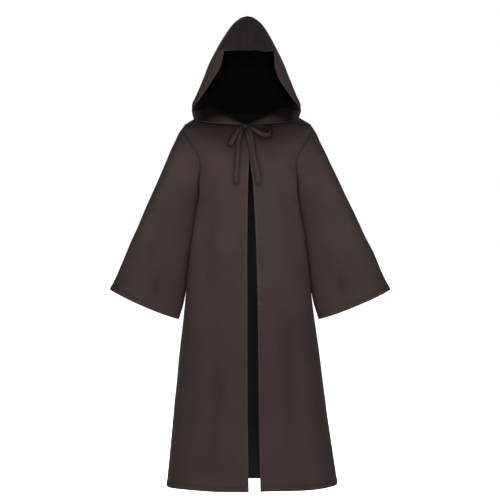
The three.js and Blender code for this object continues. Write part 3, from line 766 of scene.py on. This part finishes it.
# A band's values at even steps along it
def alongBand(rows, perRow):
    count = len(rows["x"])
    numbered = {**rows, "step": np.arange(count, dtype=float)}
    steps = np.linspace(0, count - 1, (count - 1) * perRow + 1)
    return {name: along(numbered, "step", name, steps) for name in rows}


shadows = {
    "bow": {"dark": 0.5, "reach": 6.0, "perRow": 5, "farthest": 100.0},
    "knot": {"dark": 0.85, "reach": 17.0, "x": -13, "z": -42, "stretch": 1},
    "hole": {"dark": 0.6, "reach": 10.0, "x": 42, "z": -47, "stretch": 1.8},
    "darkSpot": {"dark": 0.45, "reach": 3.5, "x": -21.8, "z": -242, "stretch": 1},  # a small dark spot on the cloth
    "cowl": {"dark": 0.4, "reach": 12.0, "half": 176, "fade": 40},
    "hood": {"dark": 0.42, "reach": 66.0, "half": 212, "fade": 30},
    "band": {"edge": 0.45, "dark": 0.65, "reach": 20.0},
    "middle": -9,
}
cowlEdge = table("x z", [(0, -22), (32, -21.5), (105, -16), (170, -3)])


def shadow(kind, distance):
    return shadows[kind]["dark"] * bell(distance, shadows[kind]["reach"])


def shadowSpot(kind, x, z):
    spot = shadows[kind]
    return shadow(kind, np.hypot((x - spot["x"]) / spot["stretch"], z - spot["z"]))


# How much light reaches the chest under the bow and under the cowl's free edge (painted shade), with a small dark
# spot
def chestShade(points):
    x, z = points[..., 0], points[..., 2]
    near = np.full(x.shape, shadows["bow"]["farthest"])
    for rows in (tailRight, tailLeft, loopRight, loopLeft):
        band = alongBand(rows, shadows["bow"]["perRow"])
        for bandX, bandZ, half in zip(band["x"], band["z"], band["half"]):
            near = np.minimum(near, np.hypot(x - bandX, z - bandZ) - half)
    underBow = np.maximum(shadow("bow", np.maximum(near, 0)), shadowSpot("knot", x, z))
    underBow = np.maximum(underBow, shadowSpot("hole", x, z))
    aside = np.abs(x - shadows["middle"])
    below = np.maximum(along(cowlEdge, "x", "z", np.clip(aside, 0, cowlEdge["x"][-1])) - z, 0)
    underCowl = 0
    for kind in ("cowl", "hood"):
        underCowl += shadow(kind, below) * smooth((shadows[kind]["half"] - aside) / shadows[kind]["fade"])
    underCowl *= points[..., 1] < 0
    return (1 - underBow) * (1 - underCowl) * (1 - shadowSpot("darkSpot", x, z))


# Front panels

frontValues = {
    "wall": 1.0, "perRow": 14, "columns": 52, "rippleDepth": 0.35, "creaseFade": 40,
    "hemWidth": 13.0, "lowerHemWidth": 17.0, "openingFade": 0.5, "neckSeam": 0.8,
    "puckerDepth": 2.4, "puckerShade": 0.9, "puckerShare": {-1: 0.25, 1: 1.0}, "puckerHeights": (-300, -900),
    "puckerFade": 120, "edgeShine": 0.3, "shineWidth": 3.5,
    "facing": 0.92, "facingFade": 0.5, "sideLight": 0.3, "sideShade": 0.24, "lightHeights": (-150, -560),
    "shadeHeight": -520, "upperFade": 60, "lowerFade": 200,
    "creases": table("x0 z0 x1 z1 width lift face", [
        (-86, -170, -84, -480, 26, 2.2, 1),
        (-118, -230, -126, -620, 20, -2.0, 1),
        (-53, -520, -48, -1230, 22, 2.0, 1),
        (-98, -560, -112, -1240, 32, -1.7, 1),
        (-160, -640, -196, -1240, 26, 1.8, 1),
        (104, -190, 96, -560, 24, 1.8, 1),
        (118, -500, 138, -1240, 32, -1.8, 1),
        (70, -640, 82, -1240, 22, 1.6, 1),
        (186, -700, 214, -1240, 24, 1.6, 1),
        (-150, -150, -146, -330, 16, 0.9, 1),
        (140, -150, 138, -330, 16, 0.9, 1),
    ]),
}


# Painted light where the chest turns to the side, and painted shade where the skirt does
def sideTone(facing, z):
    v = frontValues
    turnedAway = smooth((v["facing"] - facing) / v["facingFade"])
    high, low = v["lightHeights"]
    atChest = smooth((z - low) / v["lowerFade"]) * smooth((high - z) / v["upperFade"])
    atSkirt = smooth((v["shadeHeight"] - z) / v["lowerFade"])
    tone = 1 + v["sideLight"] * turnedAway * atChest
    return tone * (1 - v["sideShade"] * turnedAway * atSkirt)


def frontPanel(side, name, node, seed):
    v = frontValues

    def surface(row, share):
        return bodyPoint(*frontPlace(side, row, share))

    rows = rowLines(0, hemRow, v["perRow"], [0, neckRow, hemRow] + topLines + hemLines)
    shares = spreadAcross(surface, rows, v["columns"], edgeLines["hem"], edgeLines["seam"])
    points = surface(rows[:, None], shares)
    z = points[..., 2]
    edges = fromEdges(points)
    facing = -pointNormals(points, allCells(points), False, side)[..., 1]
    isOpening = smooth((rows[:, None] - neckRow) / v["openingFade"])
    depth = seamDip(edges["end"]) + seamDip(edges["top"]) - armholeDip(rows[:, None], edges["end"])
    opening = hemBand(edges["start"], v["hemWidth"]) * isOpening
    depth += opening + seamDip(edges["start"], v["neckSeam"]) * (1 - isOpening)
    depth += hemBand(edges["bottom"], v["lowerHemWidth"])
    high, low = v["puckerHeights"]
    fade = v["puckerFade"]
    gathers = smooth((high - z) / fade) * smooth((z - low) / fade) * isOpening
    gathers = puckers(edges["top"], edges["start"], seed) * gathers * v["puckerShare"][side]
    depth += v["puckerDepth"] * gathers
    depth += ripples(points, seed, v["rippleDepth"])
    depth += creaseField(v["creases"], points, facing) * smooth(edges["end"] / v["creaseFade"])
    # Painted shade under the bow and the cowl, with a small dark spot; painted light and shade on the puckers; a
    # painted highlight along the front edge
    shade = chestShade(points) * (1 + v["puckerShade"] * gathers)
    shade *= 1 + v["edgeShine"] * bell(edges["start"], v["shineWidth"]) * isOpening
    piece = makeCloth(name, points, v["wall"], [robeCloth, insideCloth], outward=side, depth=depth,
                      shade=shade * sideTone(facing, z))
    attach(piece, "root")
    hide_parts(node)


frontPanel(-1, "frontPanelRight", "front_right", 11)
frontPanel(1, "frontPanelLeft", "front_left", 12)
print("stage: front panels sewn")


# Back panel

backValues = {
    "wall": 1.0, "perRow": 9, "columns": 104, "hemWidth": 17.0, "topSeam": 0.8, "creaseFade": 40,
    "rippleDepth": 0.4, "seed": 21,
    "creases": table("x0 z0 x1 z1 width lift face", [
        (-20, -60, -30, -420, 26, -3.0, -1),
        (60, -120, 78, -520, 22, 2.8, -1),
        (98, -90, 112, -330, 16, -2.2, -1),
        (-90, -160, -116, -640, 24, 3.0, -1),
        (-118, -90, -138, -300, 15, -2.0, -1),
        (-60, -520, -84, -1240, 30, -3.4, -1),
        (24, -400, 30, -1240, 31, -3.2, -1),
        (72, -760, 92, -1240, 18, 3.0, -1),
        (120, -560, 158, -1240, 33, -3.6, -1),
        (-150, -430, -205, -1240, 30, -3.0, -1),
    ]),
}


def backPanel():
    v = backValues

    def surface(row, share):
        return bodyPoint(*backPlace(row, share))

    rows = rowLines(0, hemRow, v["perRow"], [0, hemRow] + topLines + hemLines)
    shares = spreadAcross(surface, rows, v["columns"], edgeLines["seam"], edgeLines["seam"])
    points = surface(rows[:, None], shares)
    edges = fromEdges(points)
    facing = -pointNormals(points, allCells(points), False, -1)[..., 1]
    depth = seamDip(edges["start"]) + seamDip(edges["end"]) + seamDip(edges["top"], v["topSeam"])
    depth += hemBand(edges["bottom"], v["hemWidth"])
    depth += ripples(points, v["seed"], v["rippleDepth"])
    fromSeams = np.minimum(edges["start"], edges["end"])
    depth += creaseField(v["creases"], points, facing) * smooth(fromSeams / v["creaseFade"])
    piece = makeCloth("backPanel", points, v["wall"], [robeCloth, insideCloth], outward=-1, depth=depth,
                      rim=1)
    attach(piece, "root")
    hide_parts("back")


backPanel()
print("stage: back panel sewn")


# Sleeves

sleeveValues = {
    "wall": 1.0, "rows": 100, "around": 181, "hemWidth": 17.0, "rippleDepth": 0.4, "allowanceDepth": 3.4,
    "turnedIn": 0.06, "capRoll": 3.0, "capWidth": 3.5, "capPlace": 34, "capReach": 20,
    "underarmSeam": 0.9, "rowWidth": 44, "underarmFade": 2,
    "underarmLight": 0.6, "lightWidth": 3.2, "lightFade": 0.3,
    "creases": table("x0 z0 x1 z1 width lift face", [
        (-330, -390, -318, -470, 16, -1.8, 1),
        (-300, -470, -310, -600, 20, -2.0, 1),
        (-368, -430, -400, -600, 22, 1.6, 1),
        (-232, -120, -262, -330, 22, 1.4, 1),
        (-212, -190, -262, -420, 18, 1.2, 1),
        (324, -390, 312, -470, 16, -1.8, 1),
        (296, -470, 306, -600, 20, -2.0, 1),
        (372, -430, 402, -600, 22, 1.6, 1),
        (226, -120, 258, -330, 22, 1.4, 1),
        (206, -190, 256, -420, 18, 1.2, 1),
        (-240, -110, -330, -520, 20, -3.2, -1),
        (-300, -260, -390, -600, 22, 2.8, -1),
        (-222, -150, -262, -360, 13, 1.8, -1),
        (236, -110, 326, -520, 20, -3.0, -1),
        (296, -260, 386, -600, 22, 3.0, -1),
        (214, -190, 268, -430, 14, 2.0, -1),
    ]),
}


def sleeve(side, name, node, seed):
    v = sleeveValues
    cuffLines = [1 - d / sleeveLength for d in edgeLines["hem"][1:]]
    seamLines = [d / sleeveLength for d in edgeLines["seam"][1:]]
    rows = rowLines(0, 1, v["rows"], [0, 1] + cuffLines + seamLines)
    around = np.linspace(0, 2 * underarmRow, v["around"])[:-1]
    points = sleevePoint(side, rows[:, None], around[None, :])
    points = withAllowance(points, points[0].mean(0), *armholePlace(side, around), v["allowanceDepth"])
    rows = np.concatenate([[0], rows])[:, None]
    edges = fromEdges(points)
    facing = -pointNormals(points, allCells(points, True), True, -side)[..., 1]
    fromUnderarm = np.abs(around - underarmRow) * v["rowWidth"]
    fromSeam = np.abs(edges["top"] - edges["top"][1:2])
    depth = hemBand(edges["bottom"], v["hemWidth"]) + seamDip(fromSeam)
    depth -= armholeDip(around, fromSeam) * smooth((underarmRow - 0.5 - around) / v["underarmFade"])
    depth += seamDip(fromUnderarm * (0.5 + rows), v["underarmSeam"]) * smooth(rows / seamRun)
    cap = bell(np.minimum(around, 2 * underarmRow - around), v["capWidth"])
    depth += v["capRoll"] * cap * bell(edges["top"] - v["capPlace"], v["capReach"])
    depth += ripples(points, seed, v["rippleDepth"])
    depth += creaseField(v["creases"], points, facing)
    # Painted light along the underarm, beside the body
    light = v["underarmLight"] * bell(around - underarmRow, v["lightWidth"])
    lining = np.broadcast_to(rows[:-1] > v["turnedIn"], (len(rows) - 1, len(around)))
    piece = makeCloth(name, points, v["wall"], [robeCloth, insideCloth], ring=True, outward=-side,
                      depth=depth, lining=lining, shade=1 + light * smooth(rows / v["lightFade"]))
    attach(piece, "root")
    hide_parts(node)


sleeve(-1, "sleeveRight", "sleeve_right", 31)
sleeve(1, "sleeveLeft", "sleeve_left", 32)
print("stage: sleeves set in")


# Hood

hoodValues = {
    "wall": 1.0, "perRow": 9, "perColumn": 8, "rippleDepth": 0.35, "neckMiddle": (-10.5, 0, 60),
    "turnedEdge": 0.25, "turnedFrom": 0.5, "backSeam": 1.1, "crownSeam": 0.9, "browHem": 7, "rimHem": 8,
    "browWave": table("place width lift", [(18, 14, 1.6), (52, 13, -2.4), (-40, 20, 1.2)]), "waveReach": 0.7,
    "creases": table("x0 z0 x1 z1 width lift face", [
        (-30, 300, -34, 225, 8, -1.8, 1),
        (-20, 305, -22, 222, 7, 1.2, 1),
        (20, 300, 24, 225, 8, -1.8, 1),
        (9, 300, 10, 222, 7, 1.2, 1),
        (-58, 270, -66, 222, 10, 1.2, 1),
        (48, 270, 54, 222, 10, -1.2, 1),
        (-150, 60, -120, 150, 12, 1.5, 1),
        (150, 60, 118, 150, 12, 1.5, 1),
        (-150, 40, -90, 240, 16, -2.0, -1),
        (140, 60, 70, 250, 18, -2.2, -1),
        (-60, 60, -20, 200, 20, 1.8, -1),
    ]),
}
hoodLines = {  # close lines at its edges and seams, in rows and columns
    "neck": (0, 0.05, 0.12, 0.2, 0.28, 0.38, 0.5, 0.75, 1), "brow": (0, 0.03, 0.08, 0.16, 0.28),
    "peak": (0, 0.05, 0.12), "rim": (0, 0.02, 0.06, 0.12, 0.2, 0.3), "seam": (0, 0.06, 0.14),
}


def browWave(x):
    return sum(lift * bell(x - place, width) for place, width, lift in zip(*hoodValues["browWave"].values()))


def hoodHalf(side, name, node, seed):
    v = hoodValues
    browLines = [browRow + d for d in hoodLines["brow"]]
    peakLines = [peakRow - d for d in hoodLines["peak"]]
    rows = rowLines(0, peakRow, v["perRow"], [*hoodLines["neck"], *browLines, *peakLines])
    lastColumn = crownColumns + neckRow + backNeckColumns / 2
    rimLines = [crownColumns + d for d in hoodLines["rim"]]
    backLines = [lastColumn - d for d in hoodLines["seam"]]
    columns = rowLines(0, lastColumn, v["perColumn"], [*hoodLines["seam"], *rimLines, *backLines])
    line = rows[:, None]
    points = hoodSurface(side, line, columns)
    points[:, -1, 0] -= side * seamLap
    points[rows >= browRow, 0, 0] -= side * seamLap
    wave = browWave(points[..., 0]) * bell(line - browRow, v["waveReach"])
    points[..., 2] += wave * (columns <= crownColumns)
    cells = (columns[:-1] >= crownColumns) | (line[:-1] >= browRow)
    turned = (columns[:-1] >= crownColumns) & (columns[:-1] < crownColumns + v["turnedEdge"])
    lining = ~(turned & (line[:-1] < browRow) & (line[:-1] > v["turnedFrom"]))
    seam = points[0]
    points = withAllowance(points, v["neckMiddle"], turnAt(seam[:, 0], seam[:, 2]), seam[:, 2])
    rows = np.concatenate([[0], rows])
    cells, lining = (np.concatenate([grid[:1], grid]) for grid in (cells, lining))
    edges = fromEdges(points)
    rimColumn, browLine = np.argmin(np.abs(columns - crownColumns)), np.argmin(np.abs(rows - browRow))
    fromRim = np.maximum(edges["start"] - edges["start"][:, [rimColumn]], 0)
    fromBrow = np.maximum(edges["top"] - edges["top"][[browLine]], 0)
    isCrown = columns < crownColumns
    onRim = (rows[:, None] < browRow) & ~isCrown
    crownDepth = seamDip(edges["start"], v["crownSeam"]) + hemBand(fromBrow, v["browHem"])
    depth = seamDip(edges["end"], v["backSeam"]) + np.where(isCrown, crownDepth, 0)
    depth += np.where(onRim, hemBand(fromRim, v["rimHem"]), 0)
    depth += ripples(points, seed, v["rippleDepth"])
    facing = -pointNormals(points, cells, False, -side)[..., 1]
    depth += creaseField(v["creases"], points, facing)
    piece = makeCloth(name, points, v["wall"], [robeCloth, hoodInside], cells=cells, outward=-side,
                      depth=depth, rim=1, lining=lining)
    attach(piece, "root")
    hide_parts(node)


hoodHalf(-1, "hoodHalfRight", "hood_right", 41)
hoodHalf(1, "hoodHalfLeft", "hood_left", 42)
print("stage: hood joined")


# The tie: a band of the same cloth, folded and stitched, and pleated together where it is bowed at the neck

tieValues = {
    "wall": 0.8, "round": 2.2, "perRow": 12, "across": 27, "knotPlace": (-13, -108, -28),
    "tailDiameter": {"right": 0.015, "left": 0.0175}, "loopLeftWidth": (0.05, -0.8, 0.6),
}
# Pleats: place across the band from -1 to 1, half width, height, and how far along it they fade out
tailRightPleats = table("place width lift fade", [
    (0, 0.4, 0.9, 2), (-0.5, 0.18, -1.6, 0.7), (0.5, 0.18, -1.9, 0.8),
])
tailLeftPleats = table("place width lift fade", [
    (-0.85, 0.16, 1.2, 1.5), (-0.1, 0.34, -2.6, 0.75), (0.5, 0.16, 1.6, 2), (0.9, 0.12, -0.6, 2),
])
loopPleats = table("place width lift fade", [
    (-0.45, 0.2, -1.9, 0.6), (0.1, 0.2, 1, 2), (0.55, 0.2, -1.7, 0.7),
])


def bandGrid(rows, width):
    value = alongBand(rows, tieValues["perRow"])
    middles = chestPoint(value["x"], value["z"], value["lift"])
    run = unit(np.gradient(middles, axis=0))
    if width is None:
        flat = -np.cross(bodyNormal(turnAt(value["x"], value["z"]), value["z"]), run)
    else:
        flat = np.broadcast_to(np.array(width), run.shape)
    sideways = unit(flat - run * (flat * run).sum(-1, keepdims=True))
    place = np.linspace(-1, 1, tieValues["across"])
    points = middles[:, None] + sideways[:, None] * (value["half"][:, None] * place)[..., None]
    return middles, points, place[None, :]


def ribbon(name, node, rows, pleats, width=None, inside=None):
    middles, points, place = bandGrid(rows, width)
    share = np.linspace(0, 1, len(points))[:, None]
    fromKnot = np.minimum(share, 1 - share) * 2 if node.startswith("tie_loop") else share
    depth = -tieValues["round"] * place ** 4 + 0 * share
    for middle, wide, lift, fade in zip(*pleats.values()):
        depth += lift * bell(place - middle, wide) * smooth(1 - fromKnot / fade)
    fromMiddle = np.linalg.norm(points - np.array(tieValues["knotPlace"]), axis=-1)
    # Painted shade at the band's edges and near the knot
    shade = (1 - shadows["band"]["edge"] * place ** 8) * (1 - shadow("band", fromMiddle))
    piece = makeCloth(name, points, tieValues["wall"], [tieCloth, inside or tieCloth], outward=-1, depth=depth,
                      shade=shade)
    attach(piece, "root")
    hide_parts(node)
    return piece, middles * millimetre


def tail(name, node, rows, pleats):
    piece, line = ribbon(name, node, rows, pleats)


tail("tieTailRight", "tie_tail_right", tailRight, tailRightPleats)
tail("tieTailLeft", "tie_tail_left", tailLeft, tailLeftPleats)
for name, node, rows, width, flat in (
        ("tieLoopRight", "tie_loop_right", loopRight, None, (0.016, 0.16)),
        ("tieLoopLeft", "tie_loop_left", loopLeft, tieValues["loopLeftWidth"], (0.019, 0.17))):
    piece, line = ribbon(name, node, rows, loopPleats, width, tieInside)

# The knot: the band wound tightly round itself, uneven, with deep folds that fan out below it
knotValues = {
    "half": (7.2, 5.6, 5.2), "shift": (-1.0, 0.5, 1.0), "around": 97, "up": 61, "pole": 0.02,
    "folds": 4.5, "foldWidth": 0.6, "foldLevel": 0.6, "foldDepth": 0.26, "tilt": 0.6, "fan": 0.25,
    "size": 0.95, "waist": 0.1, "waistPlace": -0.1, "waistWidth": 0.25,
    "light": 0.8, "foldShade": 0.75, "shadePower": 0.7, "shadeTop": 0.7, "shadeFade": 0.9,
}


def knot():
    v = knotValues
    low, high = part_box("tie_knot")
    middle = np.array((low + high) / 2) * 1000 + v["shift"]  # in millimetres
    around = np.linspace(0, 2 * np.pi, v["around"])[:-1][None, :]
    up = np.linspace(v["pole"], np.pi - v["pole"], v["up"])[:, None]
    x, y, z = np.sin(up) * np.cos(around), np.sin(up) * np.sin(around), np.cos(up) + 0 * around
    slant = x + v["tilt"] * z * x + v["fan"] * z
    fold = np.abs(np.sin(v["folds"] * slant * np.pi / 2)) ** v["foldWidth"] - v["foldLevel"]
    waist = v["waist"] * bell(z - v["waistPlace"], v["waistWidth"]) * np.abs(y)
    size = v["size"] + v["foldDepth"] * fold * np.abs(y) - waist
    points = middle + np.stack([x, y, z], -1) * v["half"] * size[..., None]
    # Painted shade over the whole knot, deeper in its folds, most of all low down
    inFold = np.clip(-fold / v["foldLevel"], 0, 1) ** v["shadePower"]
    shade = v["light"] - v["foldShade"] * inFold * smooth((v["shadeTop"] - z) / v["shadeFade"])
    piece = makeCloth("tieKnot", points, tieValues["wall"], [tieCloth, tieCloth], ring=True, outward=-1,
                      shade=shade)
    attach(piece, "root")
    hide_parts("tie_knot")


knot()
print("stage: tie bowed")


# Floor and light: a white surround, with most of the light from the front, beside the camera

studio = {
    "floorHeight": -1.45, "floorSize": 800.0, "floor": "#FFFFFF", "floorGlow": 0.35, "world": 1.0,
    "aim": (0, 0, -0.15),
    "lights": (("frontSoftbox", (0, -3.6, 0.25), 1.6, 225), ("sideSoftboxLeft", (-4.2, -1.8, 0.6), 1.8, 75),
               ("sideSoftboxRight", (4.2, -1.8, 0.6), 1.8, 75), ("rearSoftbox", (0, 6.0, 1.5), 3.0, 380)),
}

half = studio["floorSize"] / 2
corners = [(x * half, y * half, studio["floorHeight"]) for x, y in ((-1, -1), (1, -1), (1, 1), (-1, 1))]
floorMesh = bpy.data.meshes.new("studioFloor")
floorMesh.from_pydata(corners, [], [(0, 1, 2, 3)])
floor = bpy.data.objects.new("studioFloor", floorMesh)
scene.collection.objects.link(floor)
paint = bpy.data.materials.new("mattWhitePaintedFloor")
paint.use_nodes = True
paintShader = paint.node_tree.nodes["Principled BSDF"]
paintShader.inputs["Base Color"].default_value = linear(studio["floor"])
paintShader.inputs["Roughness"].default_value = 0.9
paintShader.inputs["Emission Color"].default_value = (1, 1, 1, 1)
paintShader.inputs["Emission Strength"].default_value = studio["floorGlow"]
floorMesh.materials.append(paint)

world = bpy.data.worlds.new("paleStudio")
world.use_nodes = True
background = world.node_tree.nodes["Background"]
background.inputs["Color"].default_value = (1, 1, 1, 1)
background.inputs["Strength"].default_value = studio["world"]
scene.world = world
for name, place, size, watts in studio["lights"]:
    data = bpy.data.lights.new(name, "AREA")
    data.size = size
    data.energy = watts
    lamp = bpy.data.objects.new(name, data)
    lamp.location = place
    lamp.rotation_euler = (Vector(studio["aim"]) - Vector(place)).to_track_quat("-Z", "Y").to_euler()
    scene.collection.objects.link(lamp)
scene.view_settings.view_transform = "Standard"  # plain sRGB, so that white stays white
print("stage: studio lit")
